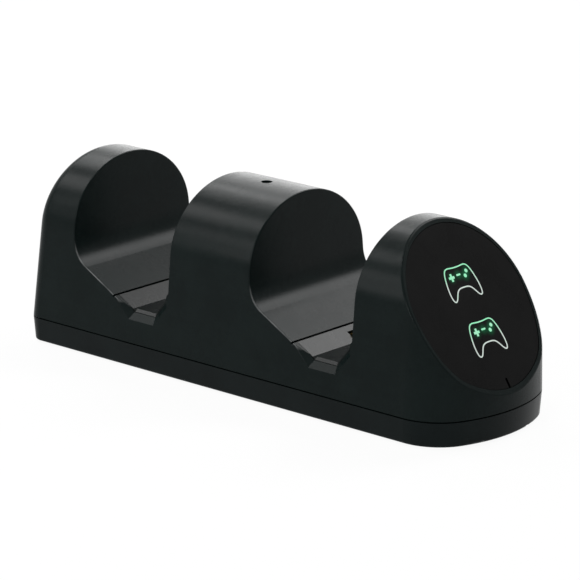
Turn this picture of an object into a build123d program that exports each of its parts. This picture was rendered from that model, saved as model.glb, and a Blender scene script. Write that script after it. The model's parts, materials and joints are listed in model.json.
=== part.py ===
from build123d import *
from math import cos, hypot, radians, sin, sqrt, tan
import os

os.makedirs("parts", exist_ok=True)

# Body, in millimetres: +X runs to the display end, +Z is up, the feet stand on Z = 0
length = 209.4  # rear end to the apex of the display end, at the seam
width = 66.6  # across the long sides, at the seam
height = 72.5
seam_height = 10.2
seam_gap = 0.5
side_draft = 0.054  # inward run of the long sides for each millimetre of rise
arch_rise = 26.8  # elliptic top above its springing line
rear_lean = 0.096  # inward run of the rear end for each millimetre of rise
rear_edge_radius = 6.0
bow_radius = 55.0  # plan radius of the display end
display_corner_radius = 19.5
wall = 2.2
fit = 0.2  # clearance round a piece that drops into another

# Cradle valleys, measured from the upright face at the rear of each one
first_seat_setback = 24.9  # rear end to the first upright face
valley_width = 48.7
display_end = 46.8  # apex of the display end back to the second valley
seat_corner_height = 38.0  # where the upright face and the seat slope would meet
seat_fillet = 12.0
seat_slope = radians(27.6)
upright_draft = 0.03
floor_height = 22.8
ramp_run = 8.3
ramp_top = 32.4
groove_reach = 21.3
groove_width = 0.9
flange_reach = 3.0
flange_thickness = 2.0
insert_rib = 2.5
insert_end = 5.2

# Scooped notches that open each valley to the long sides
notch_floor = 19.3
notch_start = 29.1
notch_run = 7.0
notch_lip = 27.1
notch_flank = radians(43.5)
scoop_taper = 45.0
scoop_top = 44.5
edge_round = 0.5

# Slanted display
display_angle = radians(56.6)
display_setback = 37.0  # apex of the display end back to the ridge of the slanted face
display_drop = 28.0  # ridge down to the middle of the display
display_edge_radius = 0.8
window_rim = 1.8
window_front_rim = 1.3
window_recess = 0.15
window_thickness = 1.85
window_gap = 0.25
pry_width = 1.0
pry_length = 3.6
ledge = 2.2
sheet_thickness = 0.8
mask_width = 26.0
mask_height = 44.0
mask_drop = 0.9
mask_flange = 4.0
mask_depth = 4.0
icon_pitch = 21.0
icon_width = 18.0
icon_height = 16.0
led_spacing = 8.0
led_size = 3.0
led_height = 1.2
small_hole_end = 0.55  # plastic left past a small screw hole

# Boards
board_thickness = 1.6
board_length = 32.5
board_width = 44.0
board_setback = 5.0  # rear end to the edge of the main board
board_bottom = 13.2
board_inset = 3.0  # screw centres in from the board's edges
chip_size = 6.0
chip_height = 1.4
chip_gap = 2.0
capacitor_radius = 2.5
capacitor_height = 6.0
capacitor_setback = 7.2
capacitor_pitch = 24.0
inductor_size = 7.0
inductor_height = 4.0
socket_length = 5.0
socket_width = 7.0
socket_height = 5.0
socket_pitch = 12.0
inlet_width = 9.0
inlet_height = 3.2
inlet_length = 7.3
inlet_skin = 0.3
inlet_recess = 1.2
tongue_width = 6.6
tongue_thickness = 0.7
tongue_length = 5.0

# Charging contacts
contact_offset = 4.0
contact_width = 3.0
contact_strip = 0.5
contact_proud = 1.5
contact_slot_start = 2.7
contact_slot_length = 5.0
contact_slot_width = 4.0
contact_bend = 0.8
contact_margin = 0.9  # slot end to where the tongue passes through
contact_tail = 1.65
block_start = 25.0
block_length = 16.0
block_half_width = 12.0
block_height = 5.0
post_drop = 2.6
post_radius = 2.2
post_offset = 9.0
post_reach = 36.0

# Base, screws, feet and wires
base_floor = 0.8
base_plate = 2.2
base_taper = 4.5
base_edge_radius = 1.0
lip_height = 1.4
lip_thickness = 1.4
boss_radius = 4.0
boss_top = 30.0
boss_inset = 5.8  # long side in to the middle of a screw boss
rear_boss_setback = 10.5
front_boss_setback = 19.5
screw_radius = 1.2
screw_head_radius = 2.6
screw_head_height = 1.8
screw_head_recess = 0.7
screw_bite = 8.0
small_screw_radius = 0.9
small_head_radius = 1.8
small_head_height = 1.2
hole_clearance = 0.1
head_clearance = 0.3
foot_radius = 6.0
foot_thickness = 2.0
foot_x = 72.0
foot_y = 22.0
support_thickness = 3.0
support_length = 14.0
top_hole_radius = 2.1
top_hole_depth = 6.0
top_hole_skin = 1.6
lead_radius = 1.0
lead_bend = 2.5
lead_height = 7.0
lead_drop_reach = 4.5
display_lead_run = 8.0

# Places that follow from the sizes above
rear_x = -length / 2
front_x = length / 2
shell_foot = seam_height + seam_gap / 2
base_top = seam_height - seam_gap / 2
spring_height = height - arch_rise
arch_reach = width / 2 - side_draft * (spring_height - seam_height)
arch_across = sqrt(arch_reach**2 - (side_draft * arch_rise) ** 2)
seats = [rear_x + first_seat_setback, front_x - display_end - valley_width]
floor_start = (seat_corner_height - floor_height) / tan(seat_slope)
groove_along = groove_reach / cos(seat_slope)
plate_end = groove_along - groove_width / 2
insert_start = groove_along + groove_width / 2
insert_bottom = notch_floor - wall
block_top = floor_height - wall - post_drop
slot_start = insert_start + contact_slot_start
slot_end = slot_start + contact_slot_length
ramp_skin = wall * hypot(ramp_run, ramp_top - floor_height) / ramp_run
board_top = board_bottom + board_thickness
board_x = rear_x + board_setback + board_length / 2
inlet_z = board_top + inlet_height / 2
inlet_x = rear_x + inlet_recess
middle_x = (seats[0] + valley_width + seats[1]) / 2
boss_rows = [rear_x + rear_boss_setback, middle_x, front_x - front_boss_setback]
boss_y = width / 2 - boss_inset
boss_places = [(x, y) for x in boss_rows for y in (-boss_y, boss_y)]
display_plane = Plane(
    origin=(front_x - display_setback + display_drop / tan(display_angle), 0, height - display_drop),
    x_dir=(0, 1, 0),
    z_dir=(sin(display_angle), 0, cos(display_angle)),
)
panel_reach = front_x - window_front_rim - display_plane.origin.X + window_recess * sin(display_angle)
panel_run = panel_reach / cos(display_angle)  # middle of the display down to the foot of the lit face
ledge_face = window_recess + window_thickness
ledge_back = ledge_face + ledge
mask_back = ledge_back + mask_depth
display_board_back = mask_back + board_thickness
outer_lip = wall + fit + side_draft * lip_height
inner_lip = outer_lip + lip_thickness
pocket_half = width / 2 - wall - fit - insert_end
board_screws_x = board_length - 2 * board_inset
board_screws_y = board_width - 2 * board_inset
display_screws_x = mask_width + mask_flange
display_screws_y = mask_height + mask_flange
head_seat = base_floor + screw_head_recess + screw_head_height
socket_x = board_x + board_length / 2 - socket_length
socket_z = board_top + socket_height / 2


# The arched body with bowed display end and leaning rear end, drawn in from the skin by an inset
def dock_body(inset, front_inset):
    across = arch_across - inset
    rise = arch_rise - inset
    reach = hypot(across, side_draft * rise)
    touch_y = across**2 / reach
    touch_z = spring_height + side_draft * rise**2 / reach
    foot_y = touch_y + side_draft * (touch_z - shell_foot)
    rear_plane = Plane(origin=(rear_x + inset, 0, shell_foot), z_dir=(-1, 0, rear_lean))
    with BuildPart() as body:
        with BuildSketch(Plane.YZ):
            with Locations((0, spring_height)):
                Ellipse(across, rise)
            with BuildLine():
                Polyline(
                    (foot_y, shell_foot),
                    (touch_y, touch_z),
                    (-touch_y, touch_z),
                    (-foot_y, shell_foot),
                    close=True,
                )
            make_face()
        extrude(amount=length / 2, both=True)
        with BuildSketch(Plane.XY):
            with Locations((front_x, 0)):
                Rectangle(bow_radius, 2 * bow_radius)
            with Locations((front_x - bow_radius, 0)):
                Circle(bow_radius - front_inset, mode=Mode.SUBTRACT)
        extrude(amount=height, mode=Mode.SUBTRACT)
        split(bisect_by=rear_plane, keep=Keep.BOTTOM)
        rear_edges = body.faces().sort_by(Axis.X)[0].edges().sort_by(Axis.Z)[1:]
        fillet(rear_edges, radius=rear_edge_radius - inset)
        front_edges = body.faces().sort_by(Axis.X)[-1].edges().sort_by(Axis.Z)[1:]
        fillet(front_edges, radius=display_corner_radius - front_inset)
    return body.part


# A point beside the seat slope: distance down the slope, then height square to it
def seat_point(seat, along, above):
    x = seat + along * cos(seat_slope) + above * sin(seat_slope)
    z = seat_corner_height - along * sin(seat_slope) + above * cos(seat_slope)
    return (x, z)


# Height of the valley's far ramp at a distance from the upright face
def ramp_height(reach):
    return floor_height + (reach - valley_width + ramp_run) * (ramp_top - floor_height) / ramp_run


# The valley's side view, grown by a wall for the inner face of the shell
def valley_face(seat, grow):
    top = height + wall
    far = seat + valley_width
    with BuildSketch(Plane.XZ, mode=Mode.PRIVATE) as section:
        with BuildLine():
            Polyline(
                (seat - upright_draft * (top - seat_corner_height), top),
                (seat, seat_corner_height),
                (seat + floor_start, floor_height),
                (far - ramp_run, floor_height),
                (far, ramp_top),
                (far + upright_draft * (top - ramp_top), top),
                close=True,
            )
        make_face()
        corner = Vector(seat, seat_corner_height)
        fillet(section.vertices().sort_by_distance(corner)[0], radius=seat_fillet)
        if grow > 0:
            offset(amount=grow, kind=Kind.INTERSECTION)
    return section.sketch


# The tapered notch at both ends of a valley
def scoop_tool(seat):
    far = seat + valley_width
    skin_y = width / 2 - side_draft * (notch_floor - seam_height)
    with BuildPart() as scoop:
        with BuildSketch(Plane.XZ.offset(skin_y)):
            with BuildLine():
                Polyline(
                    (seat + notch_start - (scoop_top - notch_floor) / tan(notch_flank), scoop_top),
                    (seat + notch_start, notch_floor),
                    (far - notch_run, notch_floor),
                    (far, notch_lip),
                    (far, scoop_top),
                    close=True,
                )
            make_face()
        extrude(amount=-(floor_height - notch_floor + wall / 4), taper=scoop_taper)
        mirror(about=Plane.XZ)
    return scoop.part


# The way through the valley floor that the insert closes
def insert_opening(seat, body):
    far = seat + valley_width
    low_x, low_z = seat_point(seat, plate_end, -2 * wall)
    with BuildPart() as opening:
        add(body)
        with BuildSketch(Plane.XZ):
            with BuildLine():
                Polyline(
                    seat_point(seat, plate_end, wall / 2),
                    (low_x, low_z),
                    (low_x, insert_bottom - wall),
                    (far, insert_bottom - wall),
                    (far, ramp_top + wall / 2),
                    close=True,
                )
            make_face()
        extrude(amount=width, both=True, mode=Mode.INTERSECT)
    return opening.part


# The edges where a valley's upright faces and seat slope leave the skin
def valley_rims(edges, seat):
    far = seat + valley_width
    leaning = edges.filter_by(Axis.Y, reverse=True).filter_by_position(Axis.Z, notch_floor, height + wall)
    seat_side = leaning.filter_by_position(Axis.X, seat - wall, seat + floor_start)
    far_side = leaning.filter_by_position(Axis.X, far, far + wall)
    return seat_side + far_side


# The plan outline of the body at the seam
def seam_outline(inset):
    bow_x = front_x - bow_radius + sqrt(bow_radius**2 - (width / 2) ** 2)
    with BuildSketch(Plane.XY, mode=Mode.PRIVATE) as outline:
        with BuildLine():
            Polyline((bow_x, width / 2), (rear_x, width / 2), (rear_x, -width / 2), (bow_x, -width / 2))
            ThreePointArc((bow_x, -width / 2), (front_x, 0), (bow_x, width / 2))
        make_face()
        fillet(outline.vertices().sort_by(Axis.X)[:2], radius=rear_edge_radius)
        fillet(outline.vertices().sort_by(Axis.X)[-2:], radius=display_corner_radius)
        if inset > 0:
            offset(amount=-inset)
    return outline.sketch


outer_body = dock_body(0, 0)
inner_body = dock_body(wall, wall)
insert_body = dock_body(wall + fit, wall + fit)
panel_body = dock_body(window_rim, window_front_rim)
recess_body = dock_body(window_rim - window_gap, window_front_rim - window_gap)
scoops = [scoop_tool(seat) for seat in seats]
openings = [insert_opening(seat, inner_body) for seat in seats]

with BuildPart() as cavity:
    add(inner_body)
    split(bisect_by=display_plane.offset(-ledge_back), keep=Keep.BOTTOM)
    for seat in seats:
        extrude(valley_face(seat, wall), amount=width, both=True, mode=Mode.SUBTRACT)
    with BuildSketch(Plane.XY.offset(shell_foot)):
        with Locations(boss_places):
            Circle(boss_radius)
    extrude(amount=boss_top - shell_foot, mode=Mode.SUBTRACT)
    with BuildSketch(Plane.XY.offset(height)):
        with Locations((middle_x, 0)):
            Circle(top_hole_radius + top_hole_skin)
    extrude(amount=-(top_hole_depth + top_hole_skin), mode=Mode.SUBTRACT)

with BuildPart() as window_pocket:
    add(recess_body)
    split(bisect_by=display_plane.offset(-ledge_face), keep=Keep.TOP)

with BuildPart() as upper_housing:
    add(outer_body)
    split(bisect_by=display_plane, keep=Keep.BOTTOM)
    slanted = upper_housing.faces().filter_by(Axis(display_plane.origin, display_plane.z_dir))
    fillet(slanted.sort_by(SortBy.AREA)[-1].edges(), radius=display_edge_radius)
    for seat in seats:
        extrude(valley_face(seat, 0), amount=width, both=True, mode=Mode.SUBTRACT)
    for scoop in scoops:
        add(scoop, mode=Mode.SUBTRACT)
    fillet([rim for seat in seats for rim in valley_rims(upper_housing.edges(), seat)], radius=edge_round)
    add(cavity.part, mode=Mode.SUBTRACT)
    for opening in openings:
        add(opening, mode=Mode.SUBTRACT)
    # the groove runs on across both side walls
    for seat in seats:
        with BuildSketch(Plane.XZ):
            with BuildLine():
                Polyline(
                    seat_point(seat, plate_end, wall / 2),
                    seat_point(seat, insert_start, wall / 2),
                    seat_point(seat, insert_start, -groove_width),
                    seat_point(seat, plate_end, -groove_width),
                    close=True,
                )
            make_face()
        extrude(amount=width, both=True, mode=Mode.SUBTRACT)
    add(window_pocket.part, mode=Mode.SUBTRACT)
    with BuildSketch(display_plane.offset(-ledge_face)):
        with Locations((0, -mask_drop)):
            Rectangle(mask_width + 2 * fit, mask_height + 2 * fit)
    extrude(amount=-2 * ledge, mode=Mode.SUBTRACT)
    with BuildSketch(display_plane.offset(-ledge_back)):
        with Locations((0, -mask_drop)):
            with GridLocations(display_screws_x, display_screws_y, 2, 2):
                Circle(small_screw_radius + hole_clearance)
    extrude(amount=ledge - small_hole_end, mode=Mode.SUBTRACT)
    with BuildSketch(Plane.XY.offset(shell_foot)):
        with Locations(boss_places):
            Circle(screw_radius + hole_clearance / 2)
    extrude(amount=screw_bite + 2 * hole_clearance, mode=Mode.SUBTRACT)
    with BuildSketch(Plane.XY.offset(height)):
        with Locations((middle_x, 0)):
            Circle(top_hole_radius)
    extrude(amount=-top_hole_depth, mode=Mode.SUBTRACT)
    with BuildSketch(Plane.YZ.offset(rear_x)):
        with Locations((0, inlet_z)):
            RectangleRounded(
                inlet_width + 2 * head_clearance, inlet_height + 2 * head_clearance, inlet_height / 2
            )
    extrude(amount=2 * wall, mode=Mode.SUBTRACT)
upper_housing.part.label = "upper_housing"
export_step(upper_housing.part, "parts/upper_housing.step")

# Shallow tray that closes the housing from below

with BuildPart() as base_shell:
    with BuildSketch(Plane.XY.offset(base_top)):
        add(seam_outline(0))
    extrude(amount=-(base_top - base_floor), taper=base_taper)
    fillet(base_shell.faces().sort_by(Axis.Z)[0].edges(), radius=base_edge_radius)
    with BuildSketch(Plane.XY.offset(base_top)):
        add(seam_outline(outer_lip))
    extrude(amount=seam_gap + lip_height)
    with BuildSketch(Plane.XY.offset(base_floor + base_plate)):
        add(seam_outline(inner_lip))
    extrude(amount=height, mode=Mode.SUBTRACT)
    with BuildSketch(Plane.XY.offset(base_top)):
        with Locations(boss_places):
            Circle(boss_radius + head_clearance)
    extrude(amount=height, mode=Mode.SUBTRACT)
    with BuildSketch(Plane.XY.offset(base_floor)):
        with Locations(boss_places):
            Circle(boss_radius)
    extrude(amount=shell_foot - base_floor)
    # posts under the main board
    with BuildSketch(Plane.XY.offset(base_floor)):
        with Locations((board_x, 0)):
            with GridLocations(board_screws_x, board_screws_y, 2, 2):
                Circle(post_radius + wall / 4)
    extrude(amount=board_bottom - base_floor)
    # ribs that press the cradle inserts up against the housing
    with BuildSketch(Plane.XY.offset(base_floor)):
        for seat in seats:
            support_x = seat + (groove_reach + valley_width) / 2
            with Locations((support_x, 0)):
                with GridLocations(0, 2 * pocket_half + support_thickness + 3 * fit, 1, 2):
                    Rectangle(support_length, support_thickness)
    extrude(amount=insert_bottom - base_floor)
    # screw holes with sunk heads, board screw holes and foot recesses
    with BuildSketch(Plane.XY.offset(base_floor)):
        with Locations(boss_places):
            Circle(screw_head_radius + head_clearance)
    extrude(amount=head_seat - base_floor, mode=Mode.SUBTRACT)
    with BuildSketch(Plane.XY.offset(base_floor)):
        with Locations(boss_places):
            Circle(screw_radius + 2 * hole_clearance)
    extrude(amount=height, mode=Mode.SUBTRACT)
    with BuildSketch(Plane.XY.offset(board_bottom)):
        with Locations((board_x, 0)):
            with GridLocations(board_screws_x, board_screws_y, 2, 2):
                Circle(small_screw_radius + hole_clearance / 2)
    extrude(amount=-(board_bottom - base_floor - base_plate), mode=Mode.SUBTRACT)
    with BuildSketch(Plane.XY.offset(base_floor)):
        with GridLocations(2 * foot_x, 2 * foot_y, 2, 2):
            Circle(foot_radius + hole_clearance)
    extrude(amount=foot_thickness - base_floor, mode=Mode.SUBTRACT)
base_shell.part.label = "base_shell"
export_step(base_shell.part, "parts/base_shell.step")

with BuildPart() as rubber_feet:
    with BuildSketch():
        with GridLocations(2 * foot_x, 2 * foot_y, 2, 2):
            Circle(foot_radius)
    extrude(amount=foot_thickness)
    chamfer(rubber_feet.faces().sort_by(Axis.Z)[:4].edges(), length=foot_thickness / 5)
rubber_feet.part.label = "rubber_feet"
export_step(rubber_feet.part, "parts/rubber_feet.step")

with BuildPart() as housing_screws:
    with BuildSketch(Plane.XY.offset(head_seat)):
        with Locations(boss_places):
            Circle(screw_head_radius)
    extrude(amount=-screw_head_height)
    with BuildSketch(Plane.XY.offset(head_seat)):
        with Locations(boss_places):
            Circle(screw_radius)
    extrude(amount=shell_foot + screw_bite - head_seat)
housing_screws.part.label = "housing_screws"
export_step(housing_screws.part, "parts/housing_screws.step")

# Lit display behind the slanted face

with BuildPart() as display_panel:
    add(panel_body)
    split(bisect_by=display_plane.offset(-window_recess), keep=Keep.BOTTOM)
    split(bisect_by=display_plane.offset(-ledge_face), keep=Keep.TOP)
    with BuildSketch(display_plane):
        with Locations((0, -panel_run)):
            Rectangle(pry_width, 2 * pry_length)
    extrude(amount=-2 * ledge_face, mode=Mode.SUBTRACT)
display_panel.part.label = "display_panel"
export_step(display_panel.part, "parts/display_panel.step")

with BuildPart() as diffuser_sheet:
    with BuildSketch(display_plane.offset(-ledge_face)):
        with Locations((0, -mask_drop)):
            Rectangle(mask_width, mask_height)
    extrude(amount=-sheet_thickness)
diffuser_sheet.part.label = "diffuser_sheet"
export_step(diffuser_sheet.part, "parts/diffuser_sheet.step")

with BuildPart() as light_mask:
    with BuildSketch(display_plane.offset(-ledge_back)):
        with Locations((0, -mask_drop)):
            Rectangle(mask_width + 2 * mask_flange, mask_height + 2 * mask_flange)
    extrude(amount=-mask_depth)
    with BuildSketch(display_plane.offset(-ledge_back)):
        with Locations((0, -mask_drop)):
            Rectangle(mask_width, mask_height)
    extrude(amount=ledge - sheet_thickness)
    with BuildSketch(display_plane):
        with Locations((0, -mask_drop)):
            with GridLocations(0, icon_pitch, 1, 2):
                Rectangle(icon_width, icon_height)
            with GridLocations(display_screws_x, display_screws_y, 2, 2):
                Circle(small_screw_radius + hole_clearance)
    extrude(amount=-mask_back, mode=Mode.SUBTRACT)
light_mask.part.label = "light_mask"
export_step(light_mask.part, "parts/light_mask.step")

with BuildPart() as display_board:
    with BuildSketch(display_plane.offset(-mask_back)):
        with Locations((0, -mask_drop)):
            Rectangle(mask_width + 2 * mask_flange, mask_height + 2 * mask_flange)
            with GridLocations(display_screws_x, display_screws_y, 2, 2):
                Circle(small_screw_radius + hole_clearance, mode=Mode.SUBTRACT)
    extrude(amount=-board_thickness)
display_board.part.label = "display_board"
export_step(display_board.part, "parts/display_board.step")

with BuildPart() as display_leds:
    with BuildSketch(display_plane.offset(-mask_back)):
        with Locations((0, -mask_drop)):
            with GridLocations(led_spacing, icon_pitch, 2, 2):
                Rectangle(led_size, led_size)
    extrude(amount=led_height)
display_leds.part.label = "display_leds"
export_step(display_leds.part, "parts/display_leds.step")

with BuildPart() as display_screws:
    with BuildSketch(display_plane.offset(-display_board_back)):
        with Locations((0, -mask_drop)):
            with GridLocations(display_screws_x, display_screws_y, 2, 2):
                Circle(small_head_radius)
    extrude(amount=-small_head_height)
    with BuildSketch(display_plane.offset(-display_board_back)):
        with Locations((0, -mask_drop)):
            with GridLocations(display_screws_x, display_screws_y, 2, 2):
                Circle(small_screw_radius)
    extrude(amount=display_board_back - ledge_back + ledge / 2)
display_screws.part.label = "display_screws"
export_step(display_screws.part, "parts/display_screws.step")

# Cradle inserts with their charging contacts

for place, seat, scoop in zip(("rear", "front"), seats, scoops):
    far = seat + valley_width
    under = wall + fit
    rib_foot = seat_point(seat, insert_start, -under - flange_thickness)
    under_floor = (seat_corner_height - floor_height + wall * (1 - cos(seat_slope))) / sin(seat_slope)
    post_places = [(seat + post_reach, -post_offset), (seat + post_reach, post_offset)]

    with BuildPart() as cradle_insert:
        add(insert_body)
        with BuildSketch(Plane.XZ):
            with BuildLine():
                Polyline(
                    seat_point(seat, insert_start, 0),
                    (seat + floor_start, floor_height),
                    (far - ramp_run, floor_height),
                    (far - fit, ramp_height(valley_width - fit)),
                    (far - fit, insert_bottom),
                    (rib_foot[0], insert_bottom),
                    rib_foot,
                    seat_point(seat, plate_end - flange_reach, -under - flange_thickness),
                    seat_point(seat, plate_end - flange_reach, -under),
                    seat_point(seat, insert_start, -under),
                    close=True,
                )
            make_face()
        extrude(amount=width, both=True, mode=Mode.INTERSECT)
        add(scoop, mode=Mode.SUBTRACT)
        rib_start = seat_point(seat, insert_start + insert_rib, -wall)
        ramp_reach = valley_width - fit - wall
        with BuildSketch(Plane.XZ):
            with BuildLine():
                Polyline(
                    rib_start,
                    seat_point(seat, under_floor, -wall),
                    (far - ramp_run + wall / 2, floor_height - wall),
                    (seat + ramp_reach, ramp_height(ramp_reach) - ramp_skin),
                    (seat + ramp_reach, insert_bottom - wall),
                    (rib_start[0], insert_bottom - wall),
                    close=True,
                )
            make_face()
        extrude(amount=pocket_half, both=True, mode=Mode.SUBTRACT)
        with BuildSketch(Plane.XY.offset(block_top)):
            with Locations(post_places):
                Circle(post_radius)
        extrude(amount=post_drop + wall / 2)
        with BuildSketch(Plane.XY.offset(block_top)):
            with Locations(post_places):
                Circle(small_screw_radius + hole_clearance / 2)
        extrude(amount=post_drop, mode=Mode.SUBTRACT)
        for side in (-contact_offset, contact_offset):
            with BuildSketch(Plane.XZ.offset(side)):
                with BuildLine():
                    Polyline(
                        seat_point(seat, slot_start, wall),
                        seat_point(seat, slot_end, wall),
                        seat_point(seat, slot_end, -2 * wall),
                        seat_point(seat, slot_start, -2 * wall),
                        close=True,
                    )
                make_face()
            extrude(amount=contact_slot_width / 2, both=True, mode=Mode.SUBTRACT)
    cradle_insert.part.label = f"{place}_cradle_insert"
    export_step(cradle_insert.part, f"parts/{place}_cradle_insert.step")

    with BuildPart() as contact_block:
        with BuildSketch(Plane.XY.offset(block_top)):
            with Locations((seat + block_start + block_length / 2, 0)):
                Rectangle(block_length, 2 * block_half_width)
            with Locations(post_places):
                Circle(small_screw_radius + hole_clearance, mode=Mode.SUBTRACT)
        extrude(amount=-block_height)
    contact_block.part.label = f"{place}_contact_block"
    export_step(contact_block.part, f"parts/{place}_contact_block.step")

    foot_z = block_top + contact_strip / 2
    with BuildPart() as contact_tongues:
        for side in (-contact_offset, contact_offset):
            with BuildSketch(Plane.XZ.offset(side)):
                with BuildLine():
                    FilletPolyline(
                        (seat + block_start + block_length - contact_strip, foot_z),
                        (seat + block_start + contact_width / 2, foot_z),
                        seat_point(seat, slot_start + contact_margin, -wall / 2),
                        seat_point(seat, (slot_start + slot_end) / 2, contact_proud),
                        seat_point(seat, slot_end - contact_margin, -contact_tail),
                        radius=contact_bend,
                    )
                trace(line_width=contact_strip)
            extrude(amount=contact_width / 2, both=True)
    contact_tongues.part.label = f"{place}_contact_tongues"
    export_step(contact_tongues.part, f"parts/{place}_contact_tongues.step")

block_bottom = block_top - block_height
contact_places = [(seat + post_reach, side) for seat in seats for side in (-post_offset, post_offset)]
with BuildPart() as contact_screws:
    with BuildSketch(Plane.XY.offset(block_bottom)):
        with Locations(contact_places):
            Circle(small_head_radius)
    extrude(amount=-small_head_height)
    with BuildSketch(Plane.XY.offset(block_bottom)):
        with Locations(contact_places):
            Circle(small_screw_radius)
    extrude(amount=block_height + post_drop - hole_clearance)
contact_screws.part.label = "contact_screws"
export_step(contact_screws.part, "parts/contact_screws.step")

# Charging electronics at the rear end

with BuildPart() as main_board:
    with BuildSketch(Plane.XY.offset(board_bottom)):
        with Locations((board_x, 0)):
            Rectangle(board_length, board_width)
            with GridLocations(board_screws_x, board_screws_y, 2, 2):
                Circle(small_screw_radius + hole_clearance, mode=Mode.SUBTRACT)
    extrude(amount=board_thickness)
main_board.part.label = "main_board"
export_step(main_board.part, "parts/main_board.step")

with BuildPart() as board_screws:
    with BuildSketch(Plane.XY.offset(board_top)):
        with Locations((board_x, 0)):
            with GridLocations(board_screws_x, board_screws_y, 2, 2):
                Circle(small_head_radius)
    extrude(amount=small_head_height)
    with BuildSketch(Plane.XY.offset(board_top)):
        with Locations((board_x, 0)):
            with GridLocations(board_screws_x, board_screws_y, 2, 2):
                Circle(small_screw_radius)
    extrude(amount=-(board_thickness + 2 * board_inset))
board_screws.part.label = "board_screws"
export_step(board_screws.part, "parts/board_screws.step")

with BuildPart() as usb_receptacle:
    with BuildSketch(Plane.YZ.offset(inlet_x)):
        with Locations((0, inlet_z)):
            RectangleRounded(inlet_width, inlet_height, inlet_height / 2 - inlet_skin)
    extrude(amount=inlet_length)
    with BuildSketch(Plane.YZ.offset(inlet_x)):
        with Locations((0, inlet_z)):
            RectangleRounded(
                inlet_width - 2 * inlet_skin, inlet_height - 2 * inlet_skin, inlet_height / 2 - 2 * inlet_skin
            )
    extrude(amount=inlet_length - inlet_skin, mode=Mode.SUBTRACT)
usb_receptacle.part.label = "usb_receptacle"
export_step(usb_receptacle.part, "parts/usb_receptacle.step")

with BuildPart() as usb_tongue:
    with BuildSketch(Plane.YZ.offset(inlet_x + inlet_length - inlet_skin)):
        with Locations((0, inlet_z)):
            Rectangle(tongue_width, tongue_thickness)
    extrude(amount=-tongue_length)
usb_tongue.part.label = "usb_tongue"
export_step(usb_tongue.part, "parts/usb_tongue.step")

with BuildPart() as charge_chips:
    with BuildSketch(Plane.XY.offset(board_top)):
        with Locations((board_x, 0)):
            with GridLocations(0, inductor_size + chip_size + 2 * chip_gap, 1, 2):
                Rectangle(chip_size, chip_size)
    extrude(amount=chip_height)
charge_chips.part.label = "charge_chips"
export_step(charge_chips.part, "parts/charge_chips.step")

with BuildPart() as storage_capacitors:
    with BuildSketch(Plane.XY.offset(board_top)):
        with Locations((board_x - capacitor_setback, 0)):
            with GridLocations(0, capacitor_pitch, 1, 2):
                Circle(capacitor_radius)
    extrude(amount=capacitor_height)
storage_capacitors.part.label = "storage_capacitors"
export_step(storage_capacitors.part, "parts/storage_capacitors.step")

with BuildPart() as power_inductor:
    with BuildSketch(Plane.XY.offset(board_top)):
        with Locations((board_x, 0)):
            RectangleRounded(inductor_size, inductor_size, inductor_size / 5)
    extrude(amount=inductor_height)
power_inductor.part.label = "power_inductor"
export_step(power_inductor.part, "parts/power_inductor.step")

with BuildPart() as lead_sockets:
    with BuildSketch(Plane.XY.offset(board_top)):
        with Locations((socket_x, 0)):
            with GridLocations(0, socket_pitch, 1, 3):
                Rectangle(socket_length, socket_width)
    extrude(amount=socket_height)
lead_sockets.part.label = "lead_sockets"
export_step(lead_sockets.part, "parts/lead_sockets.step")

# Inner wires from the main board to the contacts and the display
socket_face = socket_x + socket_length / 2
drop_x = socket_face + lead_drop_reach
block_middle = block_top - block_height / 2
lead_end = display_plane.offset(-display_board_back).from_local_coords(
    Vector(-icon_width / 2, -mask_drop - mask_height / 2)
)
lead_turn = lead_end - display_plane.z_dir * display_lead_run
lead_routes = {
    "rear_contact_lead": [
        (socket_face, 0, socket_z),
        (drop_x, 0, socket_z),
        (seats[0] + block_start - lead_drop_reach, 0, block_middle),
        (seats[0] + block_start, 0, block_middle),
    ],
    "front_contact_lead": [
        (socket_face, socket_pitch, socket_z),
        (drop_x, socket_pitch, socket_z),
        (drop_x, socket_pitch, lead_height),
        (seats[1] + block_start - 3 * lead_drop_reach, socket_pitch, lead_height),
        (seats[1] + block_start - 2 * lead_drop_reach, socket_pitch / 2, block_middle),
        (seats[1] + block_start, socket_pitch / 2, block_middle),
    ],
    "display_lead": [
        (socket_face, -socket_pitch, socket_z),
        (drop_x, -socket_pitch, socket_z),
        (drop_x, -socket_pitch, lead_height),
        (lead_turn.X - 2 * lead_drop_reach, -socket_pitch, lead_height),
        tuple(lead_turn),
        tuple(lead_end),
    ],
}
for name, points in lead_routes.items():
    with BuildPart() as lead:
        with BuildLine() as route:
            FilletPolyline(*points, radius=lead_bend)
        with BuildSketch(Plane(origin=route.line @ 0, z_dir=route.line % 0)):
            Circle(lead_radius)
        sweep()
    lead.part.label = name
    export_step(lead.part, f"parts/{name}.step")
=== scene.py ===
import json
import math

import bpy
import numpy as np
from mathutils import Matrix, Vector


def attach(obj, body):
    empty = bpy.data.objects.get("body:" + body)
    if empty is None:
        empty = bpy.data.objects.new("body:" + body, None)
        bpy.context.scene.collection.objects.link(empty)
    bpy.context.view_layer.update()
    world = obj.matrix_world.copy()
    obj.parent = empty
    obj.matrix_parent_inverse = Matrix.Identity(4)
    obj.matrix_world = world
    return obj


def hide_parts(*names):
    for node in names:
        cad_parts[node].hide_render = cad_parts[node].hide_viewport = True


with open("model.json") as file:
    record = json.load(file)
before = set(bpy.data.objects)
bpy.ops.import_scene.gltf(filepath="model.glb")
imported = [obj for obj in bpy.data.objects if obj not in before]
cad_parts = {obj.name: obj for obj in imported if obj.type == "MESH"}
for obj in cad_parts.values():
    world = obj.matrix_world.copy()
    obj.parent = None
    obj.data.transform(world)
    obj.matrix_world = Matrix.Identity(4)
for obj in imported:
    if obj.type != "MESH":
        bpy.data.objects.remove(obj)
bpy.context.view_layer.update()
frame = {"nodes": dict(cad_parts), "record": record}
nodes = frame["nodes"]
scene = bpy.context.scene
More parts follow.
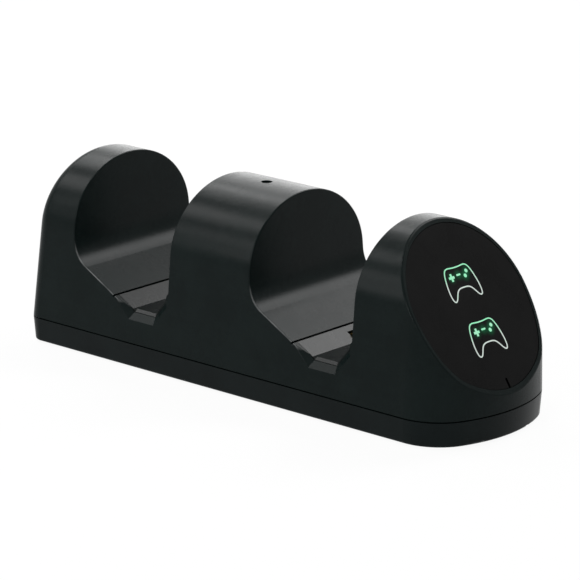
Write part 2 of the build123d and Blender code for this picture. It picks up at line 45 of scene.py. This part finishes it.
scene.view_settings.view_transform = "Standard"
millimetre = 0.001
print("frame: loaded", len(nodes), "nodes")

# camera: fitted to the photograph's lines, axes given as right, up and back
cameraSetup = {
    "place": (0.78040, -0.87122, 0.37552),
    "right": (0.74503, 0.66703, 0.0),
    "up": (-0.18732, 0.20923, 0.95976),
    "back": (0.64019, -0.71504, 0.28083),
    "lens": 205.908,
    "sensor": 36.0,
    "clip": (0.05, 60.0),
}
cameraData = bpy.data.cameras.new("photoCamera")
cameraData.lens = cameraSetup["lens"]
cameraData.sensor_width = cameraSetup["sensor"]
cameraData.clip_start, cameraData.clip_end = cameraSetup["clip"]
camera = bpy.data.objects.new("photoCamera", cameraData)
scene.collection.objects.link(camera)
turn = Matrix([cameraSetup["right"], cameraSetup["up"], cameraSetup["back"]]).transposed()
camera.matrix_world = Matrix.Translation(cameraSetup["place"]) @ turn.to_4x4()
scene.camera = camera
print("camera: placed")


# node helpers
def addNode(tree, kind, **settings):
    node = tree.nodes.new(kind)
    for key, value in settings.items():
        setattr(node, key, value)
    return node


def findNode(tree, kind):
    return next(node for node in tree.nodes if node.type == kind)


def link(tree, source, target):
    tree.links.new(source, target)


def mathNode(tree, operation, first, second=None):
    node = addNode(tree, "ShaderNodeMath", operation=operation)
    for socket, value in zip(node.inputs, (first, second)):
        if isinstance(value, (int, float)):
            socket.default_value = value
        elif value is not None:
            link(tree, value, socket)
    return node.outputs[0]


def addShares(tree, first, firstShare, second, secondShare):
    # weighted sum of two values
    firstPart = mathNode(tree, "MULTIPLY", first, firstShare)
    secondPart = mathNode(tree, "MULTIPLY", second, secondShare)
    return mathNode(tree, "ADD", firstPart, secondPart)


def noiseNode(tree, vector, scale, detail=2.0, roughness=0.5):
    node = addNode(tree, "ShaderNodeTexNoise")
    node.inputs["Scale"].default_value = scale
    node.inputs["Detail"].default_value = detail
    node.inputs["Roughness"].default_value = roughness
    link(tree, vector, node.inputs["Vector"])
    return node.outputs["Fac"]


def rangeNode(tree, value, low, high, fromLow=0.0, fromHigh=1.0):
    node = addNode(tree, "ShaderNodeMapRange")
    link(tree, value, node.inputs["Value"])
    node.inputs["From Min"].default_value = fromLow
    node.inputs["From Max"].default_value = fromHigh
    for key, limit in (("To Min", low), ("To Max", high)):
        if isinstance(limit, (int, float)):
            node.inputs[key].default_value = limit
        else:
            link(tree, limit, node.inputs[key])
    return node.outputs["Result"]


def mixColour(tree, factor, first, second):
    node = addNode(tree, "ShaderNodeMix", data_type="RGBA")
    link(tree, factor, node.inputs["Factor"])
    colours = [s for s in node.inputs if s.type == "RGBA"]
    for socket, value in zip(colours, (first, second)):
        if isinstance(value, tuple):
            socket.default_value = (*value, 1.0)
        else:
            link(tree, value, socket)
    return next(s for s in node.outputs if s.type == "RGBA")


def stretch(tree, vector, scale):
    node = addNode(tree, "ShaderNodeMapping")
    node.inputs["Scale"].default_value = scale
    link(tree, vector, node.inputs["Vector"])
    return node.outputs["Vector"]


def startMaterial(name):
    material = bpy.data.materials.new(name)
    material.use_nodes = True
    material.node_tree.nodes.clear()
    return material, material.node_tree


# shared grains, built once as groups with the same named sockets; a noise is scale, detail and roughness
grainSockets = {
    "INPUT": {"Place": "Vector", "Rough Low": "Float", "Rough High": "Float",
              "Deep": "Color", "Pale": "Color"},
    "OUTPUT": {"Colour": "Color", "Roughness": "Float", "Height": "Float"},
}
mouldGrain = {
    "grain": (5200.0, 2.0, 0.6),
    "patch": (70.0, 3.0, 0.55),
    "streak": (1.0, 2.0, 0.5),
    "streakStretch": (14.0, 420.0, 420.0),
    "patchShare": 0.86,
    "streakShare": 0.14,
    "mottleInRough": 0.7,
    "grainInRough": 0.3,
    "streakInHeight": 0.06,
    "spread": (0.35, 0.65),
}
metalGrain = {
    "lines": (1.0, 3.0, 0.6),
    "lineStretch": (300.0, 9000.0, 9000.0),
    "lineSpread": (0.3, 0.7),
    "stain": (350.0, 3.0, 0.6),
    "stainSpread": (0.35, 0.65),
}


def startGroup(name):
    tree = bpy.data.node_groups.new(name, "ShaderNodeTree")
    for side, sockets in grainSockets.items():
        for label, kind in sockets.items():
            tree.interface.new_socket(name=label, in_out=side, socket_type="NodeSocket" + kind)
    return tree, addNode(tree, "NodeGroupInput").outputs, addNode(tree, "NodeGroupOutput").inputs


def makeMouldGrain():
    # fine spark-eroded grain, faint flow streaks along X and broad patches from the mould
    look = mouldGrain
    tree, ins, outs = startGroup("mouldGrain")
    grain = noiseNode(tree, ins["Place"], *look["grain"])
    patch = noiseNode(tree, ins["Place"], *look["patch"])
    streak = noiseNode(tree, stretch(tree, ins["Place"], look["streakStretch"]), *look["streak"])
    mottle = addShares(tree, patch, look["patchShare"], streak, look["streakShare"])
    tone = rangeNode(tree, mottle, 0.0, 1.0, *look["spread"])
    link(tree, mixColour(tree, tone, ins["Deep"], ins["Pale"]), outs["Colour"])
    wear = addShares(tree, mottle, look["mottleInRough"], grain, look["grainInRough"])
    rough = rangeNode(tree, wear, ins["Rough Low"], ins["Rough High"], *look["spread"])
    link(tree, rough, outs["Roughness"])
    ridge = mathNode(tree, "MULTIPLY", streak, look["streakInHeight"])
    link(tree, mathNode(tree, "ADD", grain, ridge), outs["Height"])
    return tree


def makeMetalGrain():
    # drawn-metal lines along X with a little staining
    look = metalGrain
    tree, ins, outs = startGroup("metalGrain")
    lines = noiseNode(tree, stretch(tree, ins["Place"], look["lineStretch"]), *look["lines"])
    stain = noiseNode(tree, ins["Place"], *look["stain"])
    tone = rangeNode(tree, stain, 0.0, 1.0, *look["stainSpread"])
    link(tree, mixColour(tree, tone, ins["Deep"], ins["Pale"]), outs["Colour"])
    rough = rangeNode(tree, lines, ins["Rough Low"], ins["Rough High"], *look["lineSpread"])
    link(tree, rough, outs["Roughness"])
    link(tree, lines, outs["Height"])
    return tree


grainGroups = {"mould": makeMouldGrain(), "metal": makeMetalGrain()}
print("groups: made", ", ".join(group.name for group in grainGroups.values()))

# one finish per record slot: colours are linear, rough is the roughness range, bump is in metres
bumpStrength = 0.5
finishes = {
    "housing_plastic": {
        "name": "satinHousing", "deep": (0.0028, 0.0058, 0.0056), "pale": (0.0042, 0.0080, 0.0077),
        "rough": (0.25, 0.30), "ior": 1.16, "bump": 0.000010},
    "base_plastic": {
        "name": "satinBase", "deep": (0.0030, 0.0052, 0.0053), "pale": (0.0044, 0.0074, 0.0075),
        "rough": (0.27, 0.32), "ior": 1.16, "bump": 0.000010},
    "insert_plastic": {
        "name": "satinInsert", "deep": (0.0026, 0.0040, 0.0039), "pale": (0.0038, 0.0056, 0.0054),
        "rough": (0.265, 0.305), "ior": 1.24, "bump": 0.000010},
    "display_plastic": {
        "name": "smokedDisplay", "deep": (0.0013, 0.0013, 0.0013), "pale": (0.0019, 0.0019, 0.0019),
        "rough": (0.26, 0.32), "ior": 1.15, "bump": 0.000004},
    "foot_rubber": {
        "name": "footRubber", "deep": (0.010, 0.010, 0.010), "pale": (0.024, 0.024, 0.024),
        "rough": (0.75, 0.9), "ior": 1.45, "bump": 0.00004},
    "mask_plastic": {
        "name": "maskPlastic", "deep": (0.010, 0.010, 0.010), "pale": (0.016, 0.016, 0.016),
        "rough": (0.55, 0.7), "ior": 1.45, "bump": 0.00002},
    "chip_plastic": {
        "name": "chipPlastic", "deep": (0.008, 0.008, 0.009), "pale": (0.014, 0.014, 0.015),
        "rough": (0.45, 0.6), "ior": 1.5, "bump": 0.00002},
    "ferrite": {
        "name": "ferriteCore", "deep": (0.05, 0.05, 0.055), "pale": (0.09, 0.09, 0.095),
        "rough": (0.5, 0.7), "ior": 1.6, "bump": 0.00003},
    "socket_plastic": {
        "name": "socketNylon", "deep": (0.62, 0.58, 0.47), "pale": (0.72, 0.69, 0.58),
        "rough": (0.4, 0.5), "ior": 1.5, "bump": 0.00001},
    "lead_sheath": {
        "name": "leadSheath", "deep": (0.010, 0.010, 0.011), "pale": (0.018, 0.018, 0.019),
        "rough": (0.45, 0.55), "ior": 1.45, "bump": 0.00002},
    "diffuser_plastic": {
        "name": "diffuserMilk", "deep": (0.62, 0.68, 0.63), "pale": (0.74, 0.80, 0.75),
        "rough": (0.5, 0.6), "ior": 1.45, "bump": 0.00001},
    "led_resin": {
        "name": "ledResin", "deep": (0.70, 0.72, 0.55), "pale": (0.82, 0.84, 0.70),
        "rough": (0.2, 0.3), "ior": 1.5, "bump": 0.000005},
    "circuit_board": {
        "name": "boardLacquer", "deep": (0.006, 0.045, 0.018), "pale": (0.012, 0.085, 0.036),
        "rough": (0.28, 0.4), "ior": 1.5, "bump": 0.00003},
    "screw_steel": {
        "name": "screwSteel", "deep": (0.32, 0.32, 0.33), "pale": (0.46, 0.46, 0.47),
        "rough": (0.28, 0.42), "ior": 2.0, "bump": 0.00001, "metal": True},
    "inlet_steel": {
        "name": "inletSteel", "deep": (0.42, 0.42, 0.44), "pale": (0.58, 0.58, 0.60),
        "rough": (0.25, 0.38), "ior": 2.0, "bump": 0.00001, "metal": True},
    "contact_metal": {
        "name": "contactGilt", "deep": (0.62, 0.40, 0.12), "pale": (0.80, 0.56, 0.20),
        "rough": (0.18, 0.3), "ior": 2.0, "bump": 0.000006, "metal": True},
    "capacitor_can": {
        "name": "canAluminium", "deep": (0.50, 0.50, 0.52), "pale": (0.66, 0.66, 0.68),
        "rough": (0.3, 0.42), "ior": 2.0, "bump": 0.00001, "metal": True},
}


def makeFinish(slot):
    look = finishes[slot]
    material, tree = startMaterial(look["name"])
    output = addNode(tree, "ShaderNodeOutputMaterial")
    shader = addNode(tree, "ShaderNodeBsdfPrincipled")
    grain = addNode(tree, "ShaderNodeGroup")
    grain.node_tree = grainGroups["metal" if look.get("metal") else "mould"]
    link(tree, addNode(tree, "ShaderNodeTexCoord").outputs["Object"], grain.inputs["Place"])
    grain.inputs["Rough Low"].default_value, grain.inputs["Rough High"].default_value = look["rough"]
    grain.inputs["Deep"].default_value = (*look["deep"], 1.0)
    grain.inputs["Pale"].default_value = (*look["pale"], 1.0)
    bump = addNode(tree, "ShaderNodeBump")
    bump.inputs["Strength"].default_value = bumpStrength
    bump.inputs["Distance"].default_value = look["bump"]
    link(tree, grain.outputs["Height"], bump.inputs["Height"])
    link(tree, grain.outputs["Colour"], shader.inputs["Base Color"])
    link(tree, grain.outputs["Roughness"], shader.inputs["Roughness"])
    link(tree, bump.outputs["Normal"], shader.inputs["Normal"])
    shader.inputs["IOR"].default_value = look["ior"]
    shader.inputs["Metallic"].default_value = 1.0 if look.get("metal") else 0.0
    link(tree, shader.outputs["BSDF"], output.inputs["Surface"])
    return material


# painted highlight on the rims: each facing and place pair is where the painted highlight starts and where it
# is full
paintedRimHighlight = {
    "pale": (0.15, 0.155, 0.155),
    "facingX": (0.10, 0.30),
    "facingY": (0.20, 0.42),
    "facingZ": (0.12, 0.30),
    "aboveZ": (0.0245, 0.0265),
    "belowZ": (0.046, 0.038),
    "beforeX": (0.060, 0.056),
    "patchScale": 180.0,
    "patchSpread": (0.35, 0.6),
    "patchDepth": (0.45, 1.0),
}


def paintRimHighlights():
    # painted highlight: paler plastic on the rounded valley rims, standing in for the light they catch, found
    # by how a rim faces: along, sideways and up at once
    tree = materials["housing_plastic"].node_tree
    shader, grain = findNode(tree, "BSDF_PRINCIPLED"), findNode(tree, "GROUP")
    coordinate = findNode(tree, "TEX_COORD")
    facing = addNode(tree, "ShaderNodeSeparateXYZ")
    place = addNode(tree, "ShaderNodeSeparateXYZ")
    link(tree, coordinate.outputs["Normal"], facing.inputs[0])
    link(tree, coordinate.outputs["Object"], place.inputs[0])
    sideways = mathNode(tree, "ABSOLUTE", facing.outputs["Y"])
    limits = {"facingX": facing.outputs["X"], "facingY": sideways, "facingZ": facing.outputs["Z"],
              "aboveZ": place.outputs["Z"], "belowZ": place.outputs["Z"], "beforeX": place.outputs["X"]}
    patch = noiseNode(tree, coordinate.outputs["Object"], paintedRimHighlight["patchScale"])
    mask = rangeNode(tree, patch, *paintedRimHighlight["patchDepth"], *paintedRimHighlight["patchSpread"])
    for key, value in limits.items():
        mask = mathNode(tree, "MULTIPLY", mask, rangeNode(tree, value, 0.0, 1.0, *paintedRimHighlight[key]))
    # painted highlight: pale plastic mixed into the base colour where the rims would catch the light
    link(tree, mixColour(tree, mask, grain.outputs["Colour"], paintedRimHighlight["pale"]), shader.inputs["Base Color"])


materials = {slot: makeFinish(slot) for slot in finishes}
paintRimHighlights()
for part in frame["record"]["subparts"]:
    mesh = nodes[part["node"]].data
    mesh.materials.clear()
    mesh.materials.append(materials[part["material_slot"]])

# slanted display, as the solids have it
display = {
    "middle": (0.08616, 0.0, 0.0445),
    "angle": math.radians(56.6),
    "recess": 0.00015,
}
displayNormal = np.array([math.sin(display["angle"]), 0.0, math.cos(display["angle"])])
displayUp = np.array([-math.cos(display["angle"]), 0.0, math.sin(display["angle"])])
displayRight = np.array([0.0, 1.0, 0.0])


def onDisplay(across, along, lift):
    # a point of the lit face: across to the right, along up the slope, lift out of the face
    start = np.array(display["middle"]) - display["recess"] * displayNormal
    return (start + across[..., None] * displayRight + along[..., None] * displayUp
            + lift[..., None] * displayNormal)


def addPiece(name, points, faces, material):
    mesh = bpy.data.meshes.new(name)
    mesh.from_pydata(points.tolist(), [], faces)
    mesh.update()
    mesh.materials.append(material)
    piece = bpy.data.objects.new(name, mesh)
    scene.collection.objects.link(piece)
    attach(piece, "root")
    return piece


def gridFaces(rows, columns, closeRows=False, closeColumns=False):
    # quads of a rows by columns grid of points, each axis wrapped round where it closes
    r = np.arange(rows if closeRows else rows - 1)
    c = np.arange(columns if closeColumns else columns - 1)
    a, b = np.meshgrid(r, c, indexing="ij")
    nextA, nextB = (a + 1) % rows, (b + 1) % columns
    quads = (a * columns + b, nextA * columns + b, nextA * columns + nextB, a * columns + nextB)
    return np.stack(quads, -1).reshape(-1, 4).tolist()


def joinShapes(shapes):
    # one list of points and faces from several, each shape's faces counted on from the points before it
    points, faces, offset = [], [], 0
    for shapePoints, shapeFaces in shapes:
        points.append(shapePoints)
        faces += [[index + offset for index in face] for face in shapeFaces]
        offset += len(shapePoints)
    return np.vstack(points), faces


# lit pad signs: a plain pad outline with a cross, a bar and dots, in millimetres about its middle
padSign = {
    "centres": {"upper": (0.0, 9.6), "lower": (0.0, -11.4)},
    "rightHalf": ((0.0, 5.2), (2.0, 5.2), (4.6, 5.6), (6.3, 4.9), (7.4, 2.2), (8.4, -3.0), (8.0, -6.9),
                  (6.2, -7.0), (4.2, -3.4), (2.2, -2.5), (0.0, -2.5)),
    "stroke": 0.46,
    "height": 0.08,
    "loopPoints": 240,
    "cross": {"place": (-3.9, 1.9), "reach": 1.45, "half": 0.46},
    "bar": {"place": (0.0, 2.3), "reach": 1.1, "half": 0.34},
    "barEndPoints": 12,
    "dots": ((4.6, 2.9), (3.2, 1.3)),
    "dotRadius": 0.72,
    "dotPoints": 28,
    "mintFrom": (-2.0, 5.0),
    "unevenScale": 260.0,
    "uneven": 0.2,
    "unevenSpread": (0.35, 0.65),
    "bodyColour": (0.02, 0.03, 0.025, 1.0),
    "roughScale": 900.0,
    "rough": (0.35, 0.5),
    "strokeLight": (0.56, 0.62, 0.58),
    "markLight": (0.24, 0.78, 0.44),
    "spillLight": (0.0, 0.105, 0.036),
    "spillReach": 3.0,
}


def smoothLoop(corners, count):
    # closed cubic B-spline at evenly spaced parameters, corners being its control points
    t = np.linspace(0, len(corners), count, endpoint=False)
    i, f = np.floor(t).astype(int), (t % 1.0)[:, None]
    weights = ((1 - f) ** 3, 3 * f**3 - 6 * f**2 + 4, -3 * f**3 + 3 * f**2 + 3 * f + 1, f**3)
    return sum(w * corners[(i + k - 1) % len(corners)] for k, w in enumerate(weights)) / 6.0


def padOutline():
    # the right half and its mirror image, smoothed into one loop
    right = np.array(padSign["rightHalf"])
    left = right[1:-1][::-1] * (-1, 1)
    return smoothLoop(np.vstack([right, left]), padSign["loopPoints"])


def strokeAlong(path):
    # flat-topped ribbon: the path shifted half a stroke to each side along its own normal, at two heights
    tangent = np.roll(path, -1, 0) - np.roll(path, 1, 0)
    tangent /= np.linalg.norm(tangent, axis=1, keepdims=True)
    normal = np.stack([tangent[:, 1], -tangent[:, 0]], 1)
    half = padSign["stroke"] / 2
    shift = np.array([half, half, -half, -half])
    flat = path[:, None, :] + normal[:, None, :] * shift[None, :, None]
    lift = np.broadcast_to(padSign["height"] * np.array([0, 1, 1, 0]), flat.shape[:2])
    points = np.concatenate([flat, lift[..., None]], -1).reshape(-1, 3)
    return points, gridFaces(len(path), len(shift), True, True)


def raisedShape(outline, place):
    # closed tablet: the outline at the top and at the face, capped at both ends
    count = len(outline)
    flat = np.tile(outline + place, (2, 1))
    lift = np.repeat([padSign["height"], 0.0], count)
    faces = gridFaces(2, count, False, True)
    faces += [list(range(count)), list(range(count, 2 * count))[::-1]]
    return np.column_stack([flat, lift]), faces


def crossOutline(reach, half):
    # one arm's end and inner corner, turned by four quarter turns
    quarter = np.array([(reach, -half), (reach, half), (half, half)])
    turned = np.stack([-quarter[:, 1], quarter[:, 0]], 1)
    return np.vstack([quarter, turned, -quarter, -turned])


def discOutline(radius, count):
    # evenly spaced points of a circle
    angle = np.linspace(0, 2 * np.pi, count, endpoint=False)
    return radius * np.stack([np.cos(angle), np.sin(angle)], 1)


def barOutline(reach, half, count):
    # slot shape: two half circles joined by straight sides
    angle = np.linspace(-np.pi / 2, np.pi / 2, count)
    end = half * np.stack([np.cos(angle), np.sin(angle)], 1) + (reach - half, 0)
    return np.vstack([end, -end])


def makeSignLight():
    # whitish strokes that turn mint towards the top, mint marks, both a little uneven
    material, tree = startMaterial("signLight")
    output = addNode(tree, "ShaderNodeOutputMaterial")
    shader = addNode(tree, "ShaderNodeBsdfPrincipled")
    place = addNode(tree, "ShaderNodeTexCoord").outputs["Object"]
    swing = padSign["uneven"]
    patch = noiseNode(tree, place, padSign["unevenScale"], 1.0)
    uneven = rangeNode(tree, patch, -swing, swing, *padSign["unevenSpread"])
    share = addNode(tree, "ShaderNodeAttribute", attribute_name="mint").outputs["Fac"]
    tone = rangeNode(tree, mathNode(tree, "ADD", share, uneven), 0.0, 1.0)
    light = mixColour(tree, tone, padSign["strokeLight"], padSign["markLight"])
    link(tree, light, shader.inputs["Emission Color"])
    shader.inputs["Emission Strength"].default_value = 1.0
    shader.inputs["Base Color"].default_value = padSign["bodyColour"]
    rough = rangeNode(tree, noiseNode(tree, place, padSign["roughScale"]), *padSign["rough"])
    link(tree, rough, shader.inputs["Roughness"])
    link(tree, shader.outputs["BSDF"], output.inputs["Surface"])
    return material


def lightDisplay(spots):
    # green light spilling through the display plastic round each mark, fading to nothing at its reach
    tree = materials["display_plastic"].node_tree
    shader = findNode(tree, "BSDF_PRINCIPLED")
    place = findNode(tree, "TEX_COORD").outputs["Object"]
    spill = 0.0
    for spot in spots:
        gap = addNode(tree, "ShaderNodeVectorMath", operation="DISTANCE")
        gap.inputs[1].default_value = spot
        link(tree, place, gap.inputs[0])
        near = rangeNode(tree, gap.outputs["Value"], 1.0, 0.0, 0.0, padSign["spillReach"] * millimetre)
        spill = mathNode(tree, "ADD", spill, mathNode(tree, "POWER", near, 2.0))
    light = mixColour(tree, mathNode(tree, "MINIMUM", spill, 1.0), (0.0, 0.0, 0.0), padSign["spillLight"])
    link(tree, light, shader.inputs["Emission Color"])
    shader.inputs["Emission Strength"].default_value = 1.0


signLight = makeSignLight()
padStroke = strokeAlong(padOutline())
cross, bar = padSign["cross"], padSign["bar"]
dot = discOutline(padSign["dotRadius"], padSign["dotPoints"])
marks = [raisedShape(crossOutline(cross["reach"], cross["half"]), cross["place"]),
         raisedShape(barOutline(bar["reach"], bar["half"], padSign["barEndPoints"]), bar["place"])]
marks += [raisedShape(dot, place) for place in padSign["dots"]]
markPlaces = np.array([cross["place"], bar["place"], *padSign["dots"]])
signPoints, signFaces = joinShapes([padStroke, *marks])
mintLow, mintHigh = padSign["mintFrom"]
mint = np.clip((signPoints[:, 1] - mintLow) / (mintHigh - mintLow), 0, 1)
mint[len(padStroke[0]):] = 1.0  # the marks are mint all over
spots = []
for label, centre in padSign["centres"].items():
    across, along, lift = (signPoints + (*centre, 0.0)).T * millimetre
    places = onDisplay(across, along, lift)
    sign = addPiece(f"{label}_pad_sign", places, signFaces, signLight)
    sign.data.attributes.new("mint", "FLOAT", "POINT").data.foreach_set("value", mint.astype(np.float32))
    across, along = (markPlaces + centre).T * millimetre
    spots += onDisplay(across, along, np.zeros_like(across)).tolist()
lightDisplay(spots)
print("display: signs lit")

# screws under the base, in millimetres: the solids' own screws with a drive cross sunk into each head
crossScrew = {
    "rows": (-94.2, -10.95, 85.2),
    "sideways": 27.5,
    "shankTop": 18.45,
    "seat": 3.3,
    "headFoot": 1.5,
    "shankRadius": 1.2,
    "headRadius": 2.6,
    "edge": 0.5,
    "edgeSteps": 6,
    "around": 60,
    "crossReach": 1.5,
    "crossHalf": 0.38,
    "crossDepth": 1.1,
    "crossTaper": 0.72,
    "turns": (12.0, 51.0, 33.0, 78.0, 64.0, 5.0),
}


def plusEdge(angle, reach, half):
    # distance from the middle to the edge of a plus shape at each angle: the longer of its two crossed bars
    least = 1e-9  # keeps the divisions finite along the axes
    along, across = np.maximum(np.abs([np.cos(angle), np.sin(angle)]), least)
    return np.maximum(np.minimum(reach / along, half / across), np.minimum(half / along, reach / across))


def screwShape(place, turn):
    # rings of points carried down the screw: shank, head with a rounded edge, plus-shaped mouth and its floor
    size = crossScrew
    reach, half = size["crossReach"], size["crossHalf"]
    corner = math.atan2(half, reach)
    corners = np.add.outer((-corner, corner, np.pi / 4), np.arange(4) * np.pi / 2).ravel() % (2 * np.pi)
    even = np.linspace(0, 2 * np.pi, size["around"], endpoint=False)
    angle = np.sort(np.concatenate([even, corners]))
    bend = np.linspace(0, np.pi / 2, size["edgeSteps"])
    radius = np.concatenate([[size["shankRadius"]] * 2, [size["headRadius"]],
                             size["headRadius"] - size["edge"] * (1 - np.cos(bend))])
    height = np.concatenate([[size["shankTop"], size["seat"], size["seat"]],
                             size["headFoot"] + size["edge"] * (1 - np.sin(bend)),
                             [size["headFoot"], size["headFoot"] + size["crossDepth"]]])
    mouth = plusEdge(angle, reach, half)
    rings = np.vstack([np.repeat(radius[:, None], len(angle), 1), mouth, mouth * size["crossTaper"]])
    turned = angle + math.radians(turn)
    points = np.stack([place[0] + rings * np.cos(turned), place[1] + rings * np.sin(turned),
                       np.repeat(height[:, None], len(angle), 1)], -1).reshape(-1, 3)
    faces = gridFaces(len(rings), len(angle), False, True)
    mouthFloor = list(range(len(points) - len(angle), len(points)))[::-1]
    return points, faces + [list(range(len(angle))), mouthFloor]


screwPlaces = [(x, y) for x in crossScrew["rows"] for y in (-crossScrew["sideways"], crossScrew["sideways"])]
screwPoints, screwFaces = joinShapes([screwShape(*each) for each in zip(screwPlaces, crossScrew["turns"])])
steel = materials["screw_steel"]
screws = addPiece("cross_head_screws", screwPoints * millimetre, screwFaces, steel)
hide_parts("housing_screws")
print("screws: heads cut")

# studio: pale floor, white surroundings, soft boxes; glow is a box's brightness
studio = {
    "floorHalf": 6.0,
    "floorPoints": 9,
    "floorColour": (0.92, 0.92, 0.92, 1.0),
    "floorWhite": 0.94,
    "worldFill": 0.28,
    "boxes": {
        "backLeft": {"place": (-0.08, 0.90, 0.88), "size": (0.30, 0.56), "glow": 5.3},
        "backRight": {"place": (0.26, 0.86, 0.90), "size": (0.38, 0.56), "glow": 8.8},
        "leftLow": {"place": (-0.95, 1.15, 0.12), "size": (0.60, 0.22), "glow": 2.4},
        "leftBox": {"place": (-0.95, 1.10, 0.44), "size": (0.55, 0.30), "glow": 2.9},
        "leftHigh": {"place": (-0.92, 0.92, 0.74), "size": (0.40, 0.24), "glow": 3.1},
        "topBox": {"place": (-0.86, 0.36, 0.80), "size": (0.36, 0.28), "glow": 5.6},
        "topFar": {"place": (-0.86, 0.64, 1.06), "size": (0.28, 0.25), "glow": 6.2},
        "sideBox": {"place": (-0.86, -0.26, 0.84), "size": (0.36, 0.32), "glow": 5.6},
        "sideFar": {"place": (-0.86, -0.38, 1.18), "size": (0.36, 0.25), "glow": 3.8},
        "sideLow": {"place": (-0.84, -0.88, 0.74), "size": (0.36, 0.32), "glow": 5.1},
        "frontBox": {"place": (-0.80, -1.15, 0.44), "size": (0.42, 0.36), "glow": 4.5},
        "frontFill": {"place": (0.30, -1.20, 0.60), "size": (0.50, 0.40), "glow": 8.4},
        "overBox": {"place": (0.00, -0.15, 1.20), "size": (0.30, 0.25), "glow": 9.6},
        "frontStrip": {"place": (0.98, -0.76, 0.14), "size": (0.10, 0.22), "glow": 6.0},
        "backStrip": {"place": (0.00, 1.20, 0.07), "size": (0.80, 0.12), "glow": 6.0},
    },
    "aim": (0.0, 0.0, 0.03),
}


def sawByEye(tree):
    # 1 for camera, mirror and glass rays, 0 for the rays that carry light
    path = addNode(tree, "ShaderNodeLightPath")
    seen = mathNode(tree, "MAXIMUM", path.outputs["Is Camera Ray"], path.outputs["Is Glossy Ray"])
    return mathNode(tree, "MAXIMUM", seen, path.outputs["Is Transmission Ray"])


def makeFloorFinish():
    # pale and matt with white mixed in for the eye, and clear from below so that the underside can be seen
    material, tree = startMaterial("paleFloor")
    diffuse = addNode(tree, "ShaderNodeBsdfDiffuse")
    diffuse.inputs["Color"].default_value = studio["floorColour"]
    white = addNode(tree, "ShaderNodeEmission")
    clear = addNode(tree, "ShaderNodeBsdfTransparent")
    blend = addNode(tree, "ShaderNodeMixShader")
    under = addNode(tree, "ShaderNodeMixShader")
    link(tree, mathNode(tree, "MULTIPLY", sawByEye(tree), studio["floorWhite"]), blend.inputs[0])
    link(tree, diffuse.outputs[0], blend.inputs[1])
    link(tree, white.outputs[0], blend.inputs[2])
    link(tree, addNode(tree, "ShaderNodeNewGeometry").outputs["Backfacing"], under.inputs[0])
    link(tree, blend.outputs[0], under.inputs[1])
    link(tree, clear.outputs[0], under.inputs[2])
    link(tree, under.outputs[0], addNode(tree, "ShaderNodeOutputMaterial").inputs["Surface"])
    return material


def layFloor():
    # level square grid about the origin
    spread = np.linspace(-studio["floorHalf"], studio["floorHalf"], studio["floorPoints"])
    x, y = np.meshgrid(spread, spread, indexing="ij")
    points = np.stack([x, y, np.zeros_like(x)], -1).reshape(-1, 3)
    mesh = bpy.data.meshes.new("floor")
    mesh.from_pydata(points.tolist(), [], gridFaces(len(spread), len(spread)))
    mesh.materials.append(makeFloorFinish())
    floor = bpy.data.objects.new("floor", mesh)
    scene.collection.objects.link(floor)


def fillWorld():
    # white where the eye sees it, a soft fill for the light
    world = bpy.data.worlds.new("studioWorld")
    scene.world = world
    world.use_nodes = True
    tree = world.node_tree
    tree.nodes.clear()
    background = addNode(tree, "ShaderNodeBackground")
    link(tree, rangeNode(tree, sawByEye(tree), studio["worldFill"], 1.0), background.inputs["Strength"])
    link(tree, background.outputs[0], addNode(tree, "ShaderNodeOutputWorld").inputs["Surface"])


def hangBox(name, box):
    # a lamp's energy is its brightness times pi times its area
    width, height = box["size"]
    lamp = bpy.data.lights.new(name, "AREA")
    lamp.shape = "RECTANGLE"
    lamp.size, lamp.size_y = width, height
    lamp.energy = box["glow"] * math.pi * width * height
    lampObject = bpy.data.objects.new(name, lamp)
    scene.collection.objects.link(lampObject)
    place = Vector(box["place"])
    aim = (Vector(studio["aim"]) - place).to_track_quat("-Z", "Y")
    lampObject.matrix_world = Matrix.Translation(place) @ aim.to_matrix().to_4x4()


layFloor()
fillWorld()
for name, box in studio["boxes"].items():
    hangBox(name, box)
print("studio: floor, world and", len(studio["boxes"]), "soft boxes")
